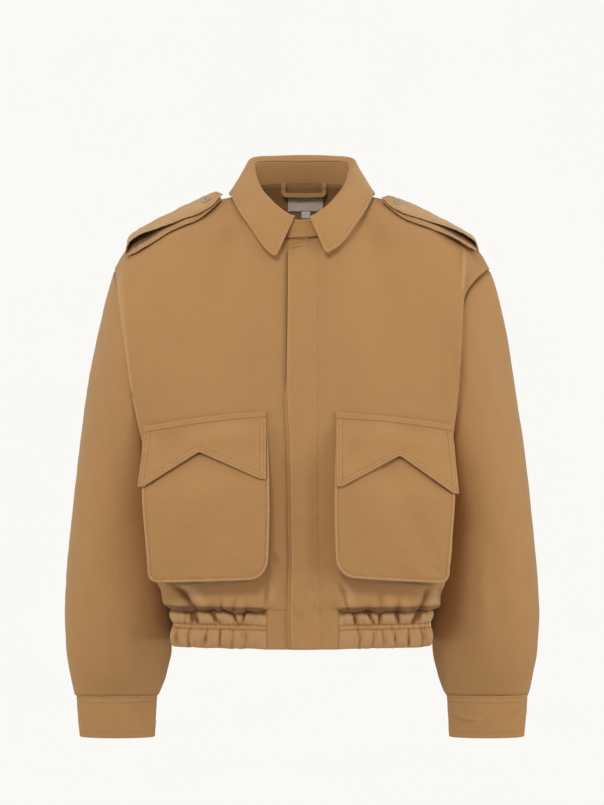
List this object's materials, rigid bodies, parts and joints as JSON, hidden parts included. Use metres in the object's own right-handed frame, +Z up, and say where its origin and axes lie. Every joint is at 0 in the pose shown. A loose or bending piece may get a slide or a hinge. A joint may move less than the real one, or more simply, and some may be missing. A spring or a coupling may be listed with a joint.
{
  "type": "pilot jacket",
  "caption": "Cropped cotton pilot jacket held open as worn, with pointed collar, strapped shoulders, covered front, flapped bellows pockets, full sleeves and a gathered hem band.",
  "frame": {"origin": "base of the neck, in the middle of the jacket and level with the neck end of the shoulder seams, where the wearer's neck and shoulders hold it up", "axes": "+Z up, +X to the wearer's left, -Y forwards out of the jacket's front"},
  "size_m": [0.6538, 0.2749, 0.81],
  "materials": {
    "cotton twill": "matte, softly napped tan cotton twill",
    "tan button": "matte tan",
    "label satin": "smooth taupe, blank",
    "tab tape": "smooth off-white, blank"
  },
  "bodies": {
    "root": {"back": "cotton twill", "band_end_left": "cotton twill", "band_end_right": "cotton twill", "collar_leaf": "cotton twill", "collar_stand": "cotton twill", "cuff_left": "cotton twill", "cuff_right": "cotton twill", "epaulette_button_left": "tan button", "epaulette_button_right": "tan button", "epaulette_lower_left": "cotton twill", "epaulette_lower_right": "cotton twill", "epaulette_upper_left": "cotton twill", "epaulette_upper_right": "cotton twill", "flap_welt_left": "cotton twill", "flap_welt_right": "cotton twill", "fly_placket": "cotton twill", "front_left": "cotton twill", "front_right": "cotton twill", "hanger_loop": "cotton twill", "hem_band": "cotton twill", "neck_label": "label satin", "pocket_bag_left": "cotton twill", "pocket_bag_right": "cotton twill", "pocket_flap_left": "cotton twill", "pocket_flap_right": "cotton twill", "size_tab": "tab tape", "sleeve_left": "cotton twill", "sleeve_right": "cotton twill", "under_fly": "cotton twill"}
  },
  "joints": []
}
